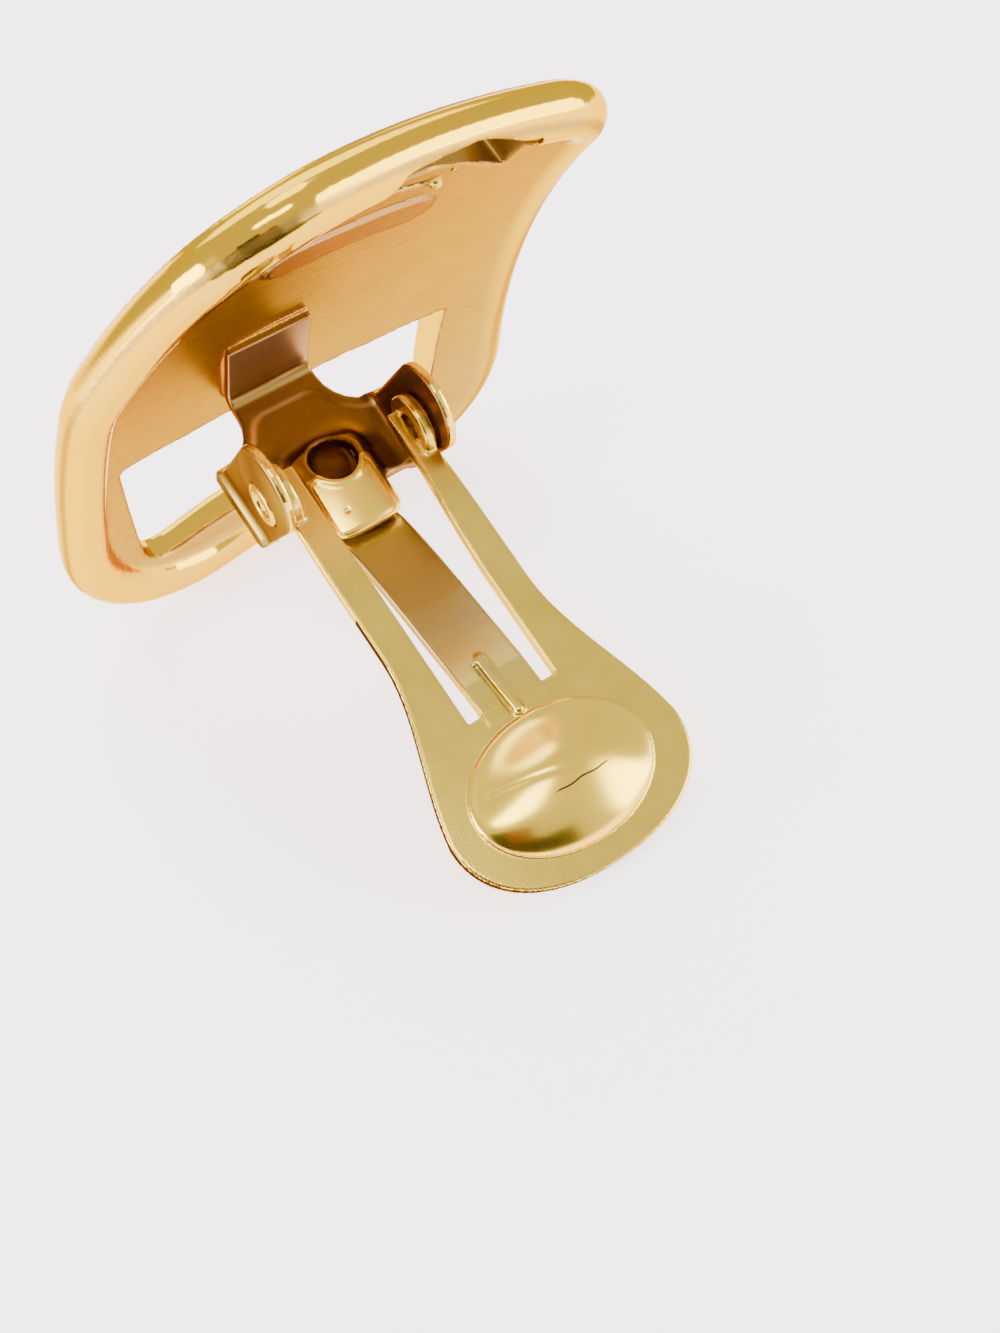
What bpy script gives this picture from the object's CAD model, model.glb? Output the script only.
import math

import bpy
import numpy as np
from mathutils import Matrix, Vector


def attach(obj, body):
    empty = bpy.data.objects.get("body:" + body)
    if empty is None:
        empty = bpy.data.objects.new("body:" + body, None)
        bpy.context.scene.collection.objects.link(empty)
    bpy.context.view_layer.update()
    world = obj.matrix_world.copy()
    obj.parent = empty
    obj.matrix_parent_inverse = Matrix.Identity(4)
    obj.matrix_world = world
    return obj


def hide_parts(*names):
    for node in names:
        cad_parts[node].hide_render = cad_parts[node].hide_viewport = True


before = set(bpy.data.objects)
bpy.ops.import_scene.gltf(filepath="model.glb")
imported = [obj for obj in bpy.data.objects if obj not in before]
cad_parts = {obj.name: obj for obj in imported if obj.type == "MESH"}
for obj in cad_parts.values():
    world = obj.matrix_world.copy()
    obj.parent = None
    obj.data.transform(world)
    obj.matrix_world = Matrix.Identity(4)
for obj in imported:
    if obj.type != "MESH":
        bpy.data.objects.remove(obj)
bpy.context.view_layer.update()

# Ornament: cast gold plate.
# One casting: a shallow dome with a thick, round, polished rim, a brushed back face, a wide
# opening below its middle bar and a narrow slot under the top rim. The clip base is soldered
# to its back.

# The clip frame is in millimetres, from the middle of the hinge: X along the hinge, Y out of the
# ornament's back, Z up. At rest the clip leans back by STAND_TILT, with the hinge at HINGE.
STAND_TILT = math.radians(33.624)
HINGE = Vector((0.9, -0.828, 9.232))


def stand(points):
    """Clip frame in millimetres to the row frame in metres."""
    c, s = math.cos(STAND_TILT), math.sin(STAND_TILT)
    p = np.asarray(points, float)
    out = np.empty_like(p)
    out[:, 0] = p[:, 0] + HINGE.x
    out[:, 1] = p[:, 1] * c + p[:, 2] * s + HINGE.y
    out[:, 2] = -p[:, 1] * s + p[:, 2] * c + HINGE.z
    return out * 0.001


def smooth_max(a, b, k):
    """Larger of two distances, with the edge between them rounded over about k."""
    h = np.clip(0.5 + 0.5 * (a - b) / k, 0, 1)
    return b + (a - b) * h + k * h * (1 - h)


def smooth_min(a, b, k):
    """Smaller of two distances, with a fillet of about k where they meet."""
    return -smooth_max(-a, -b, k)


def smooth_step(t):
    """0 up to t = 0 and 1 from t = 1, with a soft rise between them."""
    t = np.clip(t, 0, 1)
    return t * t * (3 - 2 * t)


def polygon_distance(u, v, corners):
    """Signed distance of points to a closed outline, negative inside."""
    p = np.stack([np.ravel(u), np.ravel(v)], 1)
    best = np.full(len(p), 1e9)
    inside = np.zeros(len(p), bool)
    a = np.asarray(corners, float)
    b = np.roll(a, -1, 0)
    for (ax, ay), (bx, by) in zip(a, b):
        ex, ey = bx - ax, by - ay
        wx, wy = p[:, 0] - ax, p[:, 1] - ay
        t = np.clip((wx * ex + wy * ey) / (ex * ex + ey * ey), 0, 1)
        dx, dy = wx - ex * t, wy - ey * t
        best = np.minimum(best, dx * dx + dy * dy)
        crosses = (ay > p[:, 1]) != (by > p[:, 1])
        if ay != by:
            inside ^= crosses & (p[:, 0] < ex * (p[:, 1] - ay) / (by - ay) + ax)
    best = np.sqrt(best)
    return np.where(inside, -best, best).reshape(np.shape(u))


def hull_outline(circles, inset=0.0, steps=48):
    """Outline round a set of circles [x, z, radius], as a rubber band would lie."""
    turn = np.linspace(0, 2 * math.pi, steps, endpoint=False)
    points = []
    for x, z, r in circles:
        points += [(x + (r - inset) * math.cos(a), z + (r - inset) * math.sin(a)) for a in turn]
    points = sorted(set((round(x, 5), round(z, 5)) for x, z in points))

    def half(row):
        """One side of the outline: a point that would bend it inward is dropped."""
        out = []
        for p in row:
            while len(out) > 1 and (out[-1][0] - out[-2][0]) * (p[1] - out[-2][1]) <= (
                out[-1][1] - out[-2][1]
            ) * (p[0] - out[-2][0]):
                out.pop()
            out.append(p)
        return out[:-1]

    return half(points) + half(points[::-1])


def skin(field, low, high, step):
    """Mesh of the surface where a distance field is zero: one vertex a crossed cell, then pulled
    onto the surface. field takes three arrays in millimetres."""
    low, high = np.array(low, float), np.array(high, float)
    n = np.ceil((high - low) / step).astype(int) + 1
    axes = [low[i] + step * np.arange(n[i]) for i in range(3)]
    # A pass over blocks of cells finds those that the surface passes through. The margin is
    # wider than half a block's diagonal, because a blended field isn't an exact distance.
    block = 4
    margin = 1.35 * step * block
    outside = 9.0
    value = np.full(n, outside, np.float32)
    centres = np.meshgrid(*[a[block // 2::block] for a in axes], indexing="ij")
    rough = field(*centres)
    near = np.argwhere(np.abs(rough) < margin)
    spread = np.repeat(np.repeat(np.repeat(rough, block, 0), block, 1), block, 2)
    m = np.minimum(spread.shape, n)
    value[:m[0], :m[1], :m[2]] = spread[:m[0], :m[1], :m[2]]
    # Every cell of those blocks gets its own value.
    span = np.arange(block)
    ix = (near[:, 0, None] * block + span)[:, :, None, None]
    iy = (near[:, 1, None] * block + span)[:, None, :, None]
    iz = (near[:, 2, None] * block + span)[:, None, None, :]
    cube = (len(near), block, block, block)
    ix, iy, iz = (np.broadcast_to(k, cube).ravel() for k in (ix, iy, iz))
    ok = (ix < n[0]) & (iy < n[1]) & (iz < n[2])
    ix, iy, iz = ix[ok], iy[ok], iz[ok]
    value[ix, iy, iz] = field(axes[0][ix], axes[1][iy], axes[2][iz])
    neg = value < 0
    count = sum(
        neg[i:n[0] - 1 + i, j:n[1] - 1 + j, k:n[2] - 1 + k].astype(np.int8)
        for i in (0, 1) for j in (0, 1) for k in (0, 1)
    )
    cells = np.argwhere((count > 0) & (count < 8))
    # A cell's vertex starts at the middle of the places where its edges are crossed.
    number = np.full(n - 1, -1, np.int64)
    number[tuple(cells.T)] = np.arange(len(cells))
    total = np.zeros((len(cells), 3))
    hits = np.zeros(len(cells))
    for axis in range(3):
        for i in (0, 1):
            for j in (0, 1):
                start = np.insert([i, j], axis, 0)
                end = start.copy()
                end[axis] = 1
                a = value[tuple((cells + start).T)]
                b = value[tuple((cells + end).T)]
                crossed = (a < 0) != (b < 0)
                t = np.where(crossed, a / np.where(a == b, 1, a - b), 0)
                place = start + t[:, None] * (end - start)
                total += np.where(crossed[:, None], place, 0)
                hits += crossed
    verts = low + step * (cells + total / hits[:, None])
    # Three moves down the field's slope bring it onto the surface.
    pulls = 3
    probe = 0.1 * step
    least_slope = 0.2
    for _ in range(pulls):
        f = field(*verts.T)
        slope = np.empty_like(verts)
        for i in range(3):
            shift = np.zeros(3)
            shift[i] = probe
            slope[:, i] = (field(*(verts + shift).T) - field(*(verts - shift).T)) / (2 * probe)
        move = f[:, None] * slope / np.maximum((slope ** 2).sum(1), least_slope)[:, None]
        verts -= np.clip(move, -0.5 * step, 0.5 * step)
    # Each crossed edge of the grid becomes a face between the four cells round it.
    faces = []
    for axis in range(3):
        other = [i for i in range(3) if i != axis]
        a = neg
        b = np.roll(neg, -1, axis)
        change = a != b
        change[tuple(slice(-1, None) if i == axis else slice(None) for i in range(3))] = False
        for i in other:
            change[tuple(slice(0, 1) if k == i else slice(None) for k in range(3))] = False
        edges = np.argwhere(change)
        edges = edges[np.all([edges[:, i] < n[i] - 1 for i in other], axis=0)]
        u, v = np.eye(3, dtype=int)[other]
        quad = np.stack([number[tuple((edges - s).T)] for s in (0 * u, u, u + v, v)], 1)
        flip = neg[tuple(edges.T)] == (axis == 1)
        quad[flip] = quad[flip][:, ::-1]
        faces.append(quad)
    faces = np.concatenate(faces)
    return verts, faces[(faces >= 0).all(1)]


def finished(name, body, field, low, high, step, materials, pick):
    """Object with the skin of a distance field, in the row frame. pick chooses a material for
    each face from its centre and its normal in the clip frame."""
    verts, faces = skin(field, low, high, step * (1))
    mesh = bpy.data.meshes.new(name)
    mesh.vertices.add(len(verts))
    mesh.vertices.foreach_set("co", stand(verts).ravel())
    mesh.loops.add(faces.size)
    mesh.loops.foreach_set("vertex_index", faces.ravel())
    mesh.polygons.add(len(faces))
    mesh.polygons.foreach_set("loop_start", np.arange(0, faces.size, 4))
    mesh.polygons.foreach_set("use_smooth", np.ones(len(faces), bool))
    mesh.update()
    mesh.validate()
    for m in materials:
        mesh.materials.append(m)
    corners = verts[faces]
    normal = np.cross(corners[:, 2] - corners[:, 0], corners[:, 3] - corners[:, 1])
    normal /= np.maximum(np.linalg.norm(normal, axis=1), 1e-12)[:, None]
    mesh.polygons.foreach_set("material_index", pick(corners.mean(1), normal).astype(np.int32))
    obj = bpy.data.objects.new(name, mesh)
    bpy.context.collection.objects.link(obj)
    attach(obj, body)
    return obj


def linear(code):
    """Hex colour as the linear values that a shader takes."""
    values = [int(code[i:i + 2], 16) / 255 for i in (1, 3, 5)]
    return [v / 12.92 if v <= 0.04045 else ((v + 0.055) / 1.055) ** 2.4 for v in values] + [1.0]


def node(tree, kind, *in_order, **values):
    """Adds a node. Values in order go to its first sockets, a key with a socket's name sets that
    socket, and any other key sets the node's own value."""
    n = tree.nodes.new(kind)
    sockets = list(zip(n.inputs, in_order))
    for key, value in values.items():
        socket = n.inputs.get(key.replace("_", " "))
        if socket is None:
            setattr(n, key, value)
        else:
            sockets.append((socket, value))
    for socket, value in sockets:
        if hasattr(value, "is_output"):
            tree.links.new(value, socket)
        else:
            socket.default_value = value
    return n


# How deep the fine scratches are, in metres.
GRIT_DEPTH = 0.00004


def gold_shader(t, low, high, roughness, patch, grain=0.0, stretch=(1, 1, 1), grit=0.1923, edge="#F0D070"):
    """Gold whose colour drifts between two shades over patches of patch mm, with scratches of
    grit mm in its surface. edge tints what it mirrors at a glancing angle. The real scratches
    are finer, and grit is as coarse as they need to be to show."""
    place = node(t, "ShaderNodeTexCoord").outputs["Object"]
    drift = node(t, "ShaderNodeTexNoise", Vector=place, Scale=1000 / patch, Detail=3.0, Roughness=0.6)
    mix = node(t, "ShaderNodeMix", data_type="RGBA")
    t.links.new(drift.outputs["Fac"], mix.inputs[0])
    mix.inputs[6].default_value = linear(low)
    mix.inputs[7].default_value = linear(high)
    shader = node(t, "ShaderNodeBsdfPrincipled", Metallic=1.0, Roughness=roughness)
    shader.inputs["Specular Tint"].default_value = linear(edge)
    t.links.new(mix.outputs[2], shader.inputs["Base Color"])
    if grain:
        turned = node(t, "ShaderNodeMapping", Vector=place, Scale=stretch)
        fine = node(t, "ShaderNodeTexNoise", Vector=turned.outputs[0], Scale=1000 / grit, Detail=3.0)
        bump = node(t, "ShaderNodeBump", Strength=grain, Distance=GRIT_DEPTH, Height=fine.outputs["Fac"])
        t.links.new(bump.outputs[0], shader.inputs["Normal"])
    return shader


def empty_material(name):
    mat = bpy.data.materials.new(name)
    mat.use_nodes = True
    mat.node_tree.nodes.clear()
    return mat


def gold(name, *finish, **more):
    """Material of one gold finish all over."""
    mat = empty_material(name)
    t = mat.node_tree
    node(t, "ShaderNodeOutputMaterial", Surface=gold_shader(t, *finish, **more).outputs[0])
    return mat


# The back face and the rim's middle line lie on two spheres of nearly the same size.
DOME_R = 34.0
FACE_MIDDLE = np.array([-1.0, 28.45, -3.0])
RIM_MIDDLE = np.array([-2.424, 28.87, -3.356])
RIM_R = 0.85
# Circles [x, z, radius] that the ornament's outline is drawn tight around.
OUTLINE = [
    (2.3, -6.9, 6.7), (-4.7, -7.62, 6.1), (1.85, 2.75, 6.25),
    (-5.0, 1.0, 5.3), (1.0, 8.4, 4.5), (-7.7, 8.1, 2.8),
]
RIM_LINE = hull_outline(OUTLINE, RIM_R)


def rounded(corners, radii, steps=6):
    """Closed outline with each corner rounded by its own radius."""
    out = []
    for i, corner in enumerate(corners):
        p = Vector(corner)
        a = (Vector(corners[i - 1]) - p).normalized()
        b = (Vector(corners[(i + 1) % len(corners)]) - p).normalized()
        half = a.angle(b) / 2
        start = p + a * radii[i] / math.tan(half)
        end = p + b * radii[i] / math.tan(half)
        for k in range(steps + 1):
            t = k / steps
            out.append(tuple(start * (1 - t) ** 2 + p * 2 * t * (1 - t) + end * t ** 2))
    return out


WINDOW = rounded(
    [
        (6.1, -3.45), (3.2, -4.15), (-0.8, -4.5), (-4.8, -4.15), (-7.75, -3.45),
        (-7.4, -10.8), (5.75, -10.8),
    ],
    [0.25, 3.0, 6.0, 3.0, 0.25, 1.4, 1.6],
)
SLOT = rounded(
    [(-7.15, 7.5), (-5.6, 8.7), (-4.15, 9.6), (2.05, 9.6), (2.05, 11.0), (-7.25, 10.25)],
    [0.1, 0.8, 1.2, 0.3, 0.4, 0.12],
)
GROOVE = rounded([(-4.4, 7.98), (-4.3, 8.36), (-3.0, 8.8), (-2.65, 8.72), (-3.1, 8.36)], [0.1] * 5)
GROOVE_DEPTH = 0.6
BEAD = (-4.62, -3.47, 8.05)
BEAD_R = 0.24
OVAL_X, OVAL_Z = -2.2, 5.9
OVAL_STRAIGHT = 2.1
OVAL_R = 1.0
OVAL_RISE = 0.14
# The slot's upper wall leans out over SLOT_LEAN_DEPTH of its depth, from y SLOT_LEAN_FROM on.
SLOT_LEAN = 0.9
SLOT_LEAN_FROM = -3.2
SLOT_LEAN_DEPTH = 1.3
# How far edges are rounded and inner corners filled.
OVAL_EDGE = 0.15
CUT_EDGE = 0.07
WINDOW_FRONT_ROUND = 0.3
RIM_FILLET = 0.3


def cartouche(x, z):
    """Distance to the outline of the raised oval, negative inside."""
    return np.hypot(np.maximum(np.abs(x - OVAL_X) - OVAL_STRAIGHT, 0), z - OVAL_Z) - OVAL_R


def ornament_field(x, y, z):
    """Distance to the casting's surface, negative inside."""
    dx, dy, dz = x - RIM_MIDDLE[0], y - RIM_MIDDLE[1], z - RIM_MIDDLE[2]
    r = np.sqrt(dx * dx + dy * dy + dz * dz)
    level = DOME_R + RIM_R - r
    k = (DOME_R + RIM_R) / r
    across = polygon_distance(RIM_MIDDLE[0] + dx * k, RIM_MIDDLE[2] + dz * k, RIM_LINE)
    rim = np.hypot(across, level) - RIM_R
    face = DOME_R - np.sqrt(sum((p - m) ** 2 for p, m in zip((x, y, z), FACE_MIDDLE)))
    # The raised oval fades out where it runs under the rim.
    oval = cartouche(x, z)
    face = face - OVAL_RISE * smooth_step(-oval / OVAL_EDGE) * smooth_step((-across - 0.5) / 0.9)
    plate = np.maximum(np.maximum(face, -level - RIM_R), across)
    body = smooth_min(rim, plate, RIM_FILLET)
    # The window's edge is sharp at the back and well rounded at the front.
    soft = CUT_EDGE + WINDOW_FRONT_ROUND * smooth_step(0.4 - level / 1.2)
    body = smooth_max(body, -polygon_distance(x, z, WINDOW), soft)
    # The slot's upper wall leans out, so it bites into the rim's inner side.
    along = smooth_step((x + 7.2) / 2.6) * smooth_step((-0.5 - x) / 2)
    lean = SLOT_LEAN * np.clip(y - SLOT_LEAN_FROM, 0, SLOT_LEAN_DEPTH)
    lean = lean * smooth_step((z - 9.5) / 0.7) * along
    body = smooth_max(body, -polygon_distance(x, z - lean, SLOT), CUT_EDGE)
    groove = np.maximum(polygon_distance(x, z, GROOVE), -GROOVE_DEPTH - face)
    body = smooth_max(body, -groove, 0.06)
    bead = np.sqrt(sum((p - m) ** 2 for p, m in zip((x, y, z), BEAD))) - BEAD_R
    return smooth_min(body, bead, 0.08)


def ornament_finish(centre, normal):
    """1 on the raised oval, 2 on the walls of the upper slot and the groove."""
    x, y, z = centre.T
    r = np.linalg.norm(centre - FACE_MIDDLE, axis=1)
    back = (polygon_distance(x, z, RIM_LINE) < -0.45) & (normal[:, 1] > 0.4)
    raised = back & (cartouche(x, z) < 0.06)
    wall = np.minimum(polygon_distance(x, z, SLOT), polygon_distance(x, z, GROOVE)) < 0.2
    wall &= (normal[:, 1] > -0.6) & (r > DOME_R + 0.06)
    return np.select([raised, wall], [1, 2], 0)


# Cast gold, brushed along X on the back and buffed on the rim and the front: the back gives a
# soft sheen across the brush lines, the rim mirrors the room.
ALONG_X = (0.1, 1.0, 1.0)
cast = empty_material("cast gold, polished rim and brushed back")
t = cast.node_tree
place = node(t, "ShaderNodeTexCoord").outputs["Object"]
reach = node(t, "ShaderNodeVectorMath", place, stand([FACE_MIDDLE])[0], operation="DISTANCE")
# The back face lies on the dome; the rim and the front are off it.
off = node(t, "ShaderNodeMath", reach.outputs["Value"], DOME_R * 0.001, operation="SUBTRACT")
apart = node(t, "ShaderNodeMath", off.outputs[0], operation="ABSOLUTE")
on_rim = node(t, "ShaderNodeMapRange", Value=apart.outputs[0], From_Min=0.00005, From_Max=0.00018)
brushed = gold_shader(t, "#A28226", "#BC9A48", 0.34, 1.923, 0.5, ALONG_X, edge="#DCB454")
polished = gold_shader(t, "#D8AA1C", "#E0B426", 0.12, 5.556, edge="#F2DC9C")
both = node(t, "ShaderNodeMixShader", on_rim.outputs[0], brushed.outputs[0], polished.outputs[0])
node(t, "ShaderNodeOutputMaterial", Surface=both.outputs[0])

# The raised oval is brushed too, and reads a little pinker than the field round it.
rose = gold("brushed rose gold", "#A07A44", "#AC8852", 0.32, 1.111, 0.4, ALONG_X, edge="#C8A068")
# The slot's walls are as cast, so they are dull and olive.
unpolished = gold("unpolished cast gold", "#A48648", "#B09254", 0.4, 1.667, 0.2, edge="#B89A5C")
ornament = finished(
    "ornament", "ornament", ornament_field, (-11.3, -7.6, -14.2), (9.5, -0.5, 13.4), 0.115,
    [cast, rose, unpolished], ornament_finish,
)
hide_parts("ornament_and_clip_base")

# Clip base: stamped gold sheet.
# A tab soldered flat on the ornament's back, bent square into a small bowl-shaped plate with
# two upright ears. Between the ears a pressed-up cam ridge with a collared round hole ends in
# a smooth nose that the paddle's tongue snaps over.


def line_distance(u, v, points):
    """Distance of points to an open bent line."""
    best = np.full(np.shape(u), 1e9)
    for (ax, ay), (bx, by) in zip(points[:-1], points[1:]):
        ex, ey = bx - ax, by - ay
        t = np.clip(((u - ax) * ex + (v - ay) * ey) / (ex * ex + ey * ey), 0, 1)
        best = np.minimum(best, (u - ax - ex * t) ** 2 + (v - ay - ey * t) ** 2)
    return np.sqrt(best)


# SHEET is half the thickness of the clip's sheet.
SHEET = 0.21
BEND_Y, BEND_Z, BEND_R = -4.53, -2.12, 0.69
TAB_Y = BEND_Y - BEND_R
PLATE_Z = BEND_Z - BEND_R
TAB_TOP = 0.6
# The sheet's middle line from the tab round the bend to the plate, as [y, z].
# Its upper end lies above TAB_TOP, where the tab is cut off.
TAB_LINE = [(TAB_Y, 1.2), (TAB_Y, BEND_Z)] + [
    (BEND_Y + BEND_R * math.cos(a), BEND_Z + BEND_R * math.sin(a))
    for a in np.radians(np.arange(195, 271, 15))
] + [(-0.01, PLATE_Z)]
# In plan the plate narrows to the tab by a round scoop on each side.
PLATE_HALF = 3.36
TAB_HALF = 1.65
SCOOP_Y = -4.46
SCOOP_R = PLATE_HALF - TAB_HALF
SCOOP = [
    (PLATE_HALF - SCOOP_R * math.cos(a), SCOOP_Y + SCOOP_R * math.sin(a))
    for a in np.radians(np.arange(0, 91, 15))
]
PLATE_PLAN = [(-TAB_HALF, -7.0), (TAB_HALF, -7.0)] + SCOOP + [(PLATE_HALF, 0.2), (-PLATE_HALF, 0.2)] + [
    (-x, y) for x, y in reversed(SCOOP)
]
PLATE_DISH = 0.06
# Outlines from the side, round circles [y, z, radius].
EAR = hull_outline(
    [(-0.1, 0.75, 1.6), (-0.3, -2.27, 0.75), (-2.65, -2.9, 0.12), (-2.65, -2.7, 0.12)], 0, 32
)
RIDGE = hull_outline(
    [(1.5, -2.28, 0.75), (-1.75, -1.57, 0.2), (-0.3, -1.55, 0.2), (-3.1, -2.9, 0.1), (0.9, -2.9, 0.1)],
    0, 32,
)
EAR_X = 3.15
EAR_HOLE_R = 0.82
# The ridge widens downward from RIDGE_FLARE_Z, and falls toward the tab from RIDGE_FALL_Y on.
RIDGE_HALF = 1.24
RIDGE_FLARE, RIDGE_FLARE_Z = 0.28, -1.3
RIDGE_FALL, RIDGE_FALL_Y, RIDGE_FALL_LENGTH = 0.42, -0.5, 1.9
EAR_FILLET = 0.55
RIDGE_FILLET = 0.8
NOSE_ROUND = 0.34
NOSE_R = 2.68
NOSE_FLAT_HALF = 0.55
HOLE_X, HOLE_Y, HOLE_R = -0.08, -0.92, 0.87
COLLAR_Z, COLLAR_R = -1.46, 1.0
PIT = (0.57, 1.03, -1.47)
PIT_R = 0.08
# The solder's seam runs round the tab, where it meets the ornament's back, as [x, z].
SEAM = [(1.62, -2.7), (1.7, 0.5), (1.6, 0.66), (-1.6, 0.66), (-1.7, 0.5), (-1.62, -2.7)]
SEAM_Y, SEAM_R = -5.38, 0.075


def clip_base_field(x, y, z):
    """Distance to the stamping's surface, negative inside."""
    ax = np.abs(x)
    plan = polygon_distance(x, y, PLATE_PLAN)
    # The plate is dished inside a raised edge.
    dish = PLATE_DISH * smooth_step(-smooth_max(plan + 0.22, -4.2 - y, 0.6) / 0.3)
    side = smooth_max(line_distance(y, z + dish, TAB_LINE) - SHEET, z - TAB_TOP, 0.05)
    body = smooth_max(side, plan, 0.07)
    # The ears' outer faces are slightly pillowed by the stamping.
    pillow = np.where(ax > EAR_X, 0.045 * (y * y + (z - 0.4) ** 2) - 0.04, 0)
    sheet = np.abs(ax - EAR_X) - SHEET + np.clip(pillow, -0.04, 0.08)
    ear = smooth_max(sheet, polygon_distance(y, z, EAR), 0.12)
    body = smooth_min(body, ear, EAR_FILLET)
    # The ridge is a hollow pressing that stands on the plate.
    wide = RIDGE_HALF + RIDGE_FLARE * np.clip(RIDGE_FLARE_Z - z, 0, 1.0)
    profile = polygon_distance(y, z + 0.07 * x * x, RIDGE)
    nose = np.hypot(y, z) - NOSE_R + 0.26 * np.maximum(ax - NOSE_FLAT_HALF, 0) ** 2
    front = np.where(y > 0, nose, -1.0)
    # Behind the hole the ridge ends round, and slopes down to the plate.
    ring = np.hypot(x - HOLE_X, y - HOLE_Y)
    foot = np.where(y < HOLE_Y, ring, ax) - wide
    sink = RIDGE_FALL * np.clip(RIDGE_FALL_Y - y, 0, RIDGE_FALL_LENGTH)
    ridge = smooth_max(smooth_max(profile + sink * 0.9, foot * 0.94, 0.26), front, NOSE_ROUND)
    hollow = np.maximum(profile + sink * 0.9, foot) + 2 * SHEET
    ridge = smooth_max(ridge, -hollow, 0.08)
    # The hole's collar thins out toward the nose.
    collar = 0.1 - 0.08 * smooth_step((y + 1.1) / 0.7)
    ridge = smooth_min(ridge, np.hypot(ring - COLLAR_R, z - COLLAR_Z + sink) - collar, 0.24)
    ridge = smooth_max(ridge, HOLE_R - ring, 0.1)
    pit = np.sqrt(sum((p - m) ** 2 for p, m in zip((x, y, z), PIT))) - PIT_R
    ridge = smooth_max(ridge, -pit, 0.03)
    body = smooth_min(body, ridge, RIDGE_FILLET)
    body = smooth_min(body, np.hypot(line_distance(x, z, SEAM), y - SEAM_Y) - SEAM_R, 0.04)
    return smooth_max(body, EAR_HOLE_R - np.hypot(y, z), 0.05)


def clip_base_finish(centre, normal):
    """1 where the stamping is dull between its ears, 2 on the solder, 3 in the hole, 4 on the
    ears' outer faces, 5 in the bend, 6 on the tab."""
    x, y, z = centre.T
    outer = (np.abs(x) > 3.2) & (normal[:, 0] * x > 0.5 * np.abs(x))
    ear = (np.abs(x) > 3.0) & (np.abs(normal[:, 0]) < 0.5)
    hole = (np.hypot(x - HOLE_X, y - HOLE_Y) < HOLE_R + 0.05) & (z < -1.55) & (z > -2.9)
    nose = (np.abs(x) < 1.4) & (y > -0.55) & (z > -2.4)
    solder = (y < -5.2) & (line_distance(x, z, SEAM) < 0.17)
    tab = (y < -4.9) & (normal[:, 1] > 0.6)
    bend = (y < -4.2) & (y > -5.05) & (normal[:, 1] > 0.25) & (normal[:, 2] > 0.25)
    return np.select([solder, hole, outer, bend, tab, ear | nose], [2, 3, 4, 5, 6, 0], 1)


# The nose and the ears' edges are rubbed bright, so they mirror the room softly.
stamped = gold("satin stamped gold", "#F0C840", "#F6D04C", 0.2, 3.333, 0.06, grit=0.0714, edge="#E6B650")
# Between the ears the sheet isn't polished, and stays brown and dull.
dull = gold("dull stamped gold", "#8A683C", "#967244", 0.33, 3.333, 0.08, grit=0.1111, edge="#A88452")
# The tab is as dull as that, but paler and greyer.
tab_gold = gold("dull gold of the tab", "#B4946C", "#BE9C74", 0.33, 3.333, 0.08, grit=0.1111, edge="#B0946C")
# The solder froze in grains, and glitters.
solder = gold("grainy gold solder", "#8C6420", "#D8A848", 0.28, 0.1111, 1.0, grit=0.0833, edge="#C89A48")
# Inside the hole the gold is dark brown and hardly shines.
tarnished = gold("tarnished gold", "#5C3414", "#744820", 0.5, 1.111, edge="#7A5028")
# The ears' outer faces are worn to an olive tone with a low sheen.
ear_gold = gold("worn stamped gold", "#7E6E3A", "#9C8848", 0.28, 4.167, 0.1, edge="#A88C4C")
# The bend is a little brighter than the plate below it.
bend_gold = gold("satin gold of the bend", "#98783E", "#A48446", 0.3, 3.333, 0.08, edge="#B09050")
clip_base = finished(
    "clip_base", "ornament", clip_base_field, (-3.7, -5.8, -3.4), (3.7, 2.8, 2.7), 0.06,
    [stamped, dull, solder, tarnished, ear_gold, bend_gold, tab_gold], clip_base_finish,
)
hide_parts("ornament_and_clip_base")

# Paddle: stamped gold sheet.
# One stamping: a domed oval pad on two arms whose ends are bent up into round ears, and a
# spring tongue cut free between the arms. Hollow nipples pressed out of the ears turn in the
# holes of the base's ears.

PAD_Y = 13
PAD_END = 3.1
PAD_HALF = 4.45
# A power a little over 2 makes the pad's end fuller than an ellipse.
PAD_POWER = 2.25
ARM_HALF = 2.84
FLARE, FLARE_START, FLARE_LENGTH = 1.6, 6.6, 7.2


def paddle_half(y):
    """Half width of the paddle in plan, which swells from the arms to the pad."""
    arms = ARM_HALF + 0.06 * smooth_step(y / 3.5) + FLARE * smooth_step((y - FLARE_START) / FLARE_LENGTH)
    end = np.maximum(0, 1 - np.maximum((y - PAD_Y) / PAD_END, 0) ** PAD_POWER)
    return np.where(y < PAD_Y, arms, PAD_HALF * end ** (1 / PAD_POWER))


PADDLE_STEPS = np.concatenate([
    np.linspace(-0.75, PAD_Y, 35),
    PAD_Y + PAD_END * np.sin(np.linspace(0.08, math.pi / 2, 20)),
])
PADDLE_SIDE = [(paddle_half(y), y) for y in PADDLE_STEPS]
PADDLE_PLAN = PADDLE_SIDE + [(-x, y) for x, y in PADDLE_SIDE[-2::-1]]
# PADDLE_SHEET is half the thickness of the sheet, whose middle lies at PAD_Z in the pad.
PADDLE_SHEET = 0.225
PAD_Z = -0.155
# The dome's oval in plan, its height, and the lines pressed into it, as [x, y].
DOME_X, DOME_Y = 0.1, 12.88
DOME_HALF_X, DOME_HALF_Y = 3.3, 2.36
DOME_RISE = 0.68
FOLD_LINE = [(-0.3, 10.56), (-0.7, 10.7), (-1.5, 10.86), (-1.9, 10.93)]
FOLD_RISE, FOLD_HALF = 0.03, 0.2
CREASE_LINE = [(2.6, 12.2), (1.4, 12.45), (0.6, 12.65), (-0.3, 12.97)]
CREASE_DEPTH, CREASE_HALF = 0.02, 0.1
STEP_RISE = 0.05
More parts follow.
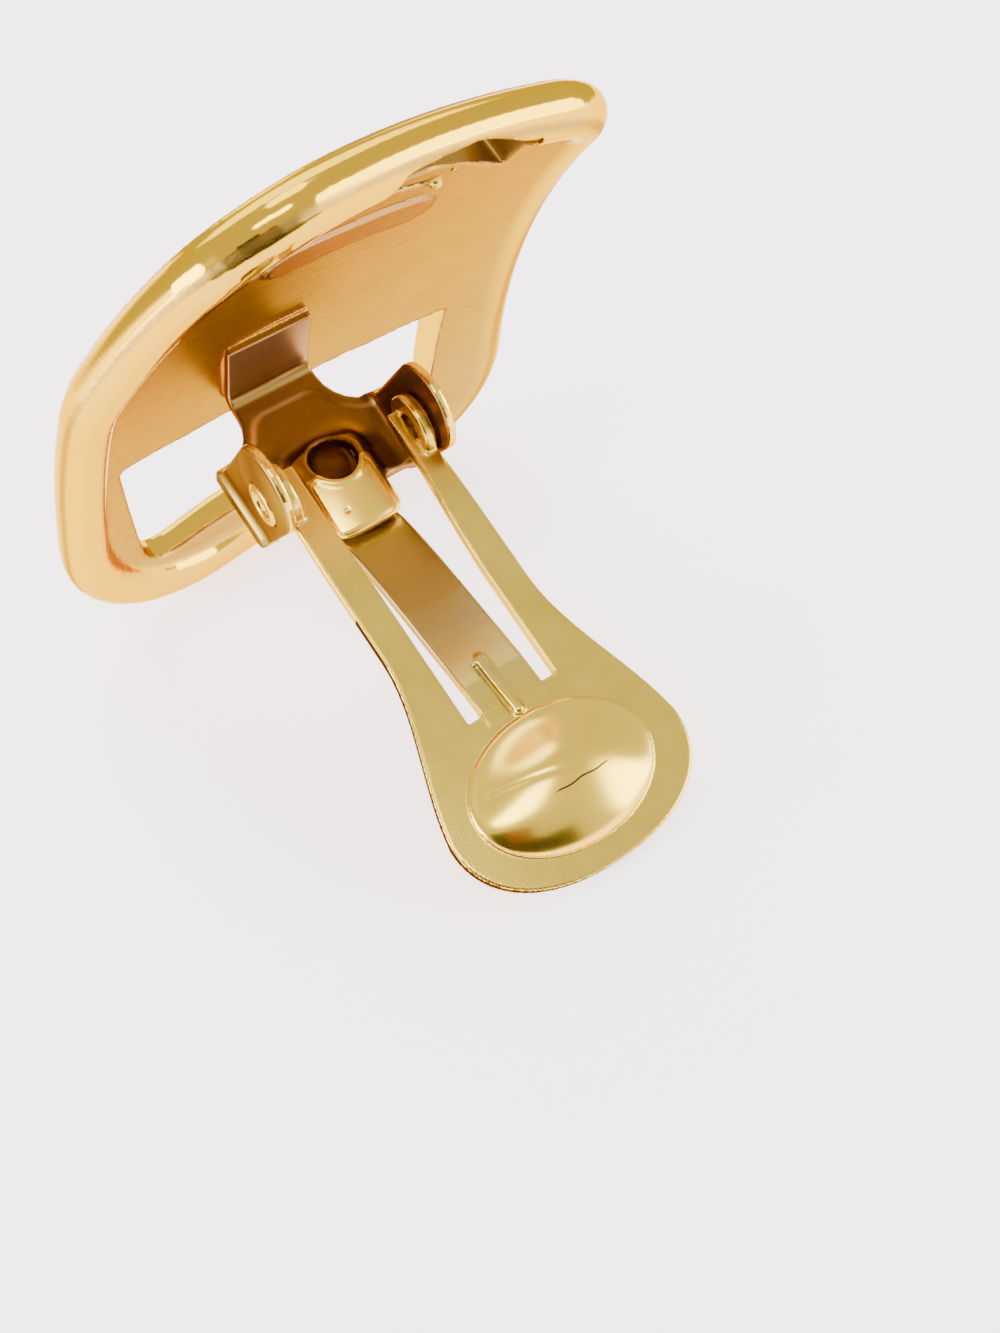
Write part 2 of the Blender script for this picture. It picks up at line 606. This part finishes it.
# The tongue's middle line from its root down to the cam nose, as [y, z].
TONGUE_LINE = [
    (10.2, PAD_Z), (9.5, -0.19), (8.8, -0.29), (8.0, -0.48), (7.0, -0.76),
    (5.6, -1.1), (4.2, -1.48), (3.0, -1.88), (2.1, -2.26), (1.6, -2.6),
]
TONGUE_HALF = 1.18
SLOTS_END = 9.88
# Inner edge of each arm at the hinge, out from the middle.
ARM_INNER_PLUS, ARM_INNER_MINUS = 1.78, 2.02
RIB_START, RIB_END, RIB_R = (0.08, 8.15, -0.32), (0.02, 10.3, 0.03), 0.21
RIB_GROOVE_START, RIB_GROOVE_END, RIB_GROOVE_R = (0.33, 8.3, -0.22), (0.29, 10.2, 0.1), 0.09
PADDLE_EAR_X, PADDLE_EAR_R = 2.63, 1.15
NIPPLE_X, NIPPLE_HALF, NIPPLE_R = 3.05, 0.39, 0.78
# Along the hinge, from the middle out.
HOLLOW_START, HOLLOW_END, HOLLOW_R = PADDLE_EAR_X - SHEET, 3.16, 0.5
DIMPLE_START, DIMPLE_R = 3.28, 0.46


def bar_distance(x, y, z, start, end):
    """Distance of points to a straight line between two places."""
    a, b = np.array(start), np.array(end)
    d = b - a
    t = np.clip(((x - a[0]) * d[0] + (y - a[1]) * d[1] + (z - a[2]) * d[2]) / (d @ d), 0, 1)
    return np.sqrt((x - a[0] - t * d[0]) ** 2 + (y - a[1] - t * d[1]) ** 2 + (z - a[2] - t * d[2]) ** 2)


def paddle_field(x, y, z):
    """Distance to the stamping's surface, negative inside."""
    ax = np.abs(x)
    # The dome is crisp at its outer side. Toward the arms it starts with a small step and a
    # shallow slope.
    u, v = (x - DOME_X) / DOME_HALF_X, (y - DOME_Y) / DOME_HALF_Y
    ease = smooth_step(0.45 - 0.9 * v - 0.25 * u)
    rise = np.maximum(1 - u * u - v * v, 0)
    step = STEP_RISE * smooth_step(rise / 0.09) * ease * smooth_step((x + 3.2) / 1.6)
    from_fold = line_distance(x, y, FOLD_LINE)
    fold = FOLD_RISE * np.exp(-(from_fold / FOLD_HALF) ** 2) * smooth_step((x + 2.4) / 1.3)
    dome = DOME_RISE * rise ** (0.72 + 1.2 * ease) + step + fold
    crease = CREASE_DEPTH * np.exp(-(line_distance(x, y, CREASE_LINE) / CREASE_HALF) ** 2)
    middle = PAD_Z + dome - crease
    # On the dome's slopes the height is more than the distance to the sheet.
    slope = 1 + 0.25 * (rise > 0.01)
    sheet = np.abs(z - middle) / slope - PADDLE_SHEET
    sheet = smooth_max(sheet, polygon_distance(x, y, PADDLE_PLAN), 0.07)
    # The arm on the +X side is the wider one at the hinge.
    along = smooth_step(y / 6)
    gap = np.where(x > 0, ARM_INNER_PLUS - 0.06 * along, ARM_INNER_MINUS - 0.3 * along)
    sheet = smooth_max(sheet, -np.maximum(ax - gap, y - SLOTS_END), 0.05)
    tongue = smooth_max(line_distance(y, z, TONGUE_LINE) - PADDLE_SHEET, ax - TONGUE_HALF, 0.06)
    body = smooth_min(sheet, tongue, 0.05)
    # A narrow groove runs along the +X side of the rib.
    rib = bar_distance(x, y, z, RIB_START, RIB_END) - RIB_R
    body = smooth_min(body, rib, 0.06)
    groove = bar_distance(x, y, z, RIB_GROOVE_START, RIB_GROOVE_END) - RIB_GROOVE_R
    body = smooth_max(body, -groove, 0.04)
    from_pivot = np.hypot(y, z)
    ear = smooth_max(np.abs(ax - PADDLE_EAR_X) - SHEET, from_pivot - PADDLE_EAR_R, 0.1)
    body = smooth_min(body, ear, 0.12)
    nipple = smooth_max(np.abs(ax - NIPPLE_X) - NIPPLE_HALF, from_pivot - NIPPLE_R, 0.12)
    body = smooth_min(body, nipple, 0.05)
    # The nipples are hollow from within, and dimpled at their outer ends.
    hollow = np.maximum(from_pivot - HOLLOW_R, np.maximum(HOLLOW_START - ax, ax - HOLLOW_END))
    dimple = np.maximum(from_pivot - DIMPLE_R, DIMPLE_START - ax)
    return smooth_max(smooth_max(body, -hollow, 0.08), -dimple, 0.12)


def paddle_finish(centre, normal):
    """1 on the polished dome, 2 on the spring tongue, 3 on the pad's cut edge."""
    x, y, z = centre.T
    inside = ((x - DOME_X) / DOME_HALF_X) ** 2 + ((y - DOME_Y) / DOME_HALF_Y) ** 2 < 1
    spring = (np.abs(x) < 1.3) & (y < 9.8)
    rim = polygon_distance(x, y, PADDLE_PLAN) > -0.12
    cut = (y > 5) & (np.abs(normal[:, 2] + 0.1) < 0.5) & rim
    return np.select([spring, cut, inside & (normal[:, 2] > 0.2)], [2, 3, 1], 0)


# Rolled sheet with a satin face: a soft mirror that drifts between two pale golds.
PALE = ("#BC9E2C", "#F0D054", 0.22, 3.03, 0.1)
satin = gold("satin stamped pale gold", *PALE, grit=0.0556, edge="#EED484")
# The sheared edge of the sheet is dull and dark.
cut_edge = gold("dark cut edge of the sheet", "#5E4A1E", "#6E5826", 0.3, 2.381, edge="#8C7434")
# The tongue dulls from the pad's finish at its root to a greyer one at its worn end, over this
# stretch of the row frame's Y, in metres.
WORN_END_Y, WORN_START_Y = 0.0042, 0.0074
spring_gold = empty_material("satin spring gold")
t = spring_gold.node_tree
place = node(t, "ShaderNodeSeparateXYZ", Vector=node(t, "ShaderNodeTexCoord").outputs["Object"])
to_root = node(t, "ShaderNodeMapRange", Value=place.outputs["Y"], From_Min=WORN_END_Y, From_Max=WORN_START_Y)
worn = gold_shader(t, "#A0946A", "#AC9E72", 0.26, 2.381, 0.1, grit=0.0556, edge="#D8B45C")
root = gold_shader(t, *PALE, grit=0.0556, edge="#EED484")
both = node(t, "ShaderNodeMixShader", to_root.outputs[0], worn.outputs[0], root.outputs[0])
node(t, "ShaderNodeOutputMaterial", Surface=both.outputs[0])
# The dome mirrors a little more sharply than the sheet round it.
burnished = gold("burnished pale gold", "#F0C840", "#F4CE4A", 0.19, 4.167, edge="#F2DC98")

# A scratch across the dome, in metres along the clip frame's axes. It waves a little, by
# SCRATCH_WAVES radians a metre, and its ends taper.
SCRATCH_X, SCRATCH_Y = -0.00025, 0.01333
SCRATCH_HALF = 0.00115
SCRATCH_WIDTH = 0.000028
SCRATCH_TAPER = 0.1
SCRATCH_SWAY = 0.000022
SCRATCH_WAVES = 6500.0


def draw_scratch(mat):
    """Draws the scratch as a dark line in a gold's colour."""
    t = mat.node_tree
    place = node(t, "ShaderNodeTexCoord").outputs["Object"]
    shift = node(t, "ShaderNodeVectorMath", place, HINGE * 0.001, operation="SUBTRACT")
    turned = node(
        t, "ShaderNodeVectorRotate", rotation_type="X_AXIS", Vector=shift.outputs[0], Angle=STAND_TILT
    )
    axes = node(t, "ShaderNodeSeparateXYZ", Vector=turned.outputs[0])
    x, y = axes.outputs["X"], axes.outputs["Y"]
    phase = node(t, "ShaderNodeMath", x, SCRATCH_WAVES, operation="MULTIPLY")
    wave = node(t, "ShaderNodeMath", phase.outputs[0], operation="SINE")
    line = node(t, "ShaderNodeMath", wave.outputs[0], SCRATCH_SWAY, SCRATCH_Y, operation="MULTIPLY_ADD")
    across = node(t, "ShaderNodeMath", y, line.outputs[0], operation="SUBTRACT")
    off = node(t, "ShaderNodeMath", across.outputs[0], operation="ABSOLUTE")
    from_middle = node(t, "ShaderNodeMath", x, SCRATCH_X, operation="SUBTRACT")
    along = node(t, "ShaderNodeMath", from_middle.outputs[0], operation="ABSOLUTE")
    left = node(t, "ShaderNodeMath", SCRATCH_HALF, along.outputs[0], operation="SUBTRACT")
    taper = node(t, "ShaderNodeMath", left.outputs[0], SCRATCH_TAPER, operation="MULTIPLY")
    width = node(t, "ShaderNodeMath", taper.outputs[0], SCRATCH_WIDTH, operation="MINIMUM")
    mask = node(t, "ShaderNodeMath", width.outputs[0], off.outputs[0], operation="GREATER_THAN")
    shader = next(n for n in t.nodes if n.type == "BSDF_PRINCIPLED")
    mix = node(t, "ShaderNodeMix", data_type="RGBA")
    t.links.new(mask.outputs[0], mix.inputs[0])
    t.links.new(shader.inputs["Base Color"].links[0].from_socket, mix.inputs[6])
    mix.inputs[7].default_value = linear("#4A3410")
    t.links.new(mix.outputs[2], shader.inputs["Base Color"])


draw_scratch(burnished)
paddle = finished(
    "paddle", "paddle", paddle_field, (-4.9, -1.6, -2.9), (4.9, 16.5, 1.7), 0.07,
    [satin, burnished, spring_gold, cut_edge], paddle_finish,
)
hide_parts("paddle")

# Studio: pale floor, soft light, camera.
# Not part of the object: a plain pale floor, large soft lights, a few cards that only the metal
# mirrors, and the camera where the photo's was.


def surface(name, code, glow=0.0):
    """Matt material of one colour, which may also shine with it."""
    mat = bpy.data.materials.new(name)
    mat.use_nodes = True
    shader = mat.node_tree.nodes["Principled BSDF"]
    shader.inputs["Base Color"].default_value = linear(code)
    shader.inputs["Roughness"].default_value = 0.9
    shader.inputs["Emission Color"].default_value = linear(code)
    shader.inputs["Emission Strength"].default_value = glow
    return mat


def board(name, middle, half_w, half_h, heading, material, lean=0.0):
    """Board that faces the object from one side: upright, or leaned back as far as flat."""
    side = Vector((math.cos(heading), -math.sin(heading), 0)) * half_w
    back = Vector((math.sin(heading), math.cos(heading), 0))
    up = (back * math.sin(lean) + Vector((0, 0, math.cos(lean)))) * half_h
    m = Vector(middle)
    mesh = bpy.data.meshes.new(name)
    mesh.from_pydata([m - side - up, m + side - up, m + side + up, m - side + up], [], [(0, 1, 2, 3)])
    mesh.materials.append(material)
    obj = bpy.data.objects.new(name, mesh)
    bpy.context.collection.objects.link(obj)
    # The cards are only seen mirrored in the metal.
    obj.visible_camera = False
    obj.visible_shadow = False


floor_mesh = bpy.data.meshes.new("floor")
half = 3
floor_mesh.from_pydata(
    [(-half, -half, 0), (half, -half, 0), (half, half, 0), (-half, half, 0)], [], [(0, 1, 2, 3)]
)
floor_mesh.materials.append(surface("lit pale acrylic", "#F7E9EE", 2.5))
floor = bpy.data.objects.new("floor", floor_mesh)
bpy.context.collection.objects.link(floor)
black = surface("black card", "#0C0907")
board("dark card", (0.044, 0.054, 0.028), 0.018, 0.028, math.radians(20), black)
board("low dark card", (0.018, 0.056, 0.0135), 0.025, 0.0135, math.radians(12), black)
flat = math.radians(90)
board("dark card on the floor", (0.053, 0.139, 0.0006), 0.055, 0.112, math.radians(20), black, flat)
white = surface("bright white card", "#FFFFFF", 13.0)
board("small light card", (0.049, -0.009, 0.0115), 0.0045, 0.007, math.radians(97), white)
brown = surface("brown card", "#5C3020")
board("brown card", (0.02, 0.0565, 0.03), 0.009, 0.017, math.radians(20), brown)

world = bpy.data.worlds.new("studio")
world.use_nodes = True
world.node_tree.nodes["Background"].inputs["Color"].default_value = linear("#FBF6F4")
world.node_tree.nodes["Background"].inputs["Strength"].default_value = 1.25
bpy.context.scene.world = world

# The lights aim at the middle of the earring. Each has its heading from +Y toward +X, height
# angle, distance, width, height and brightness.
target = Vector((0, 0, 0.0095))
for name, heading, height, away, width, tall, glow in [
    ("softbox front", 20, 61, 0.3, 0.18, 0.08, 10.0),
    ("softbox top", 208, 72, 0.4, 0.2, 0.2, 4.6),
    ("softbox back", 194, 37, 0.4, 0.44, 0.28, 3.6),
    ("window right", -48, 12, 0.3, 0.2, 0.3, 9.0),
    ("lamp left", 97, 8, 0.25, 0.2, 0.18, 14.0),
]:
    lamp = bpy.data.lights.new(name, "AREA")
    lamp.shape = "ELLIPSE"
    lamp.size, lamp.size_y = width, tall
    area = math.pi / 4 * width * tall
    lamp.energy = glow * math.pi * area
    light = bpy.data.objects.new(name, lamp)
    h, e = math.radians(heading), math.radians(height)
    out = Vector((math.sin(h) * math.cos(e), math.cos(h) * math.cos(e), math.sin(e)))
    light.location = target + out * away
    light.rotation_euler = (-out).to_track_quat("-Z", "Y").to_euler()
    bpy.context.collection.objects.link(light)

# The camera's lens, place and turn were worked out from the photo's perspective. The rows are
# its right, down and forward in the clip frame.
eye = bpy.data.cameras.new("camera")
eye.sensor_width = 36
eye.lens = 43.22
camera = bpy.data.objects.new("camera", eye)
rows = [
    (-0.81685, 0.55471, 0.15826),
    (0.48502, 0.80898, -0.33213),
    (-0.31227, -0.19454, -0.92986),
]
turn = Matrix.Rotation(-STAND_TILT, 3, "X")
right, down, forward = (turn @ Vector(r) for r in rows)
spot = Vector(stand([(16.01, 18.91, 48.51)])[0])
camera.matrix_world = Matrix.Translation(spot) @ Matrix((right, -down, -forward)).transposed().to_4x4()
eye.clip_start = 0.001
bpy.context.collection.objects.link(camera)
bpy.context.scene.camera = camera
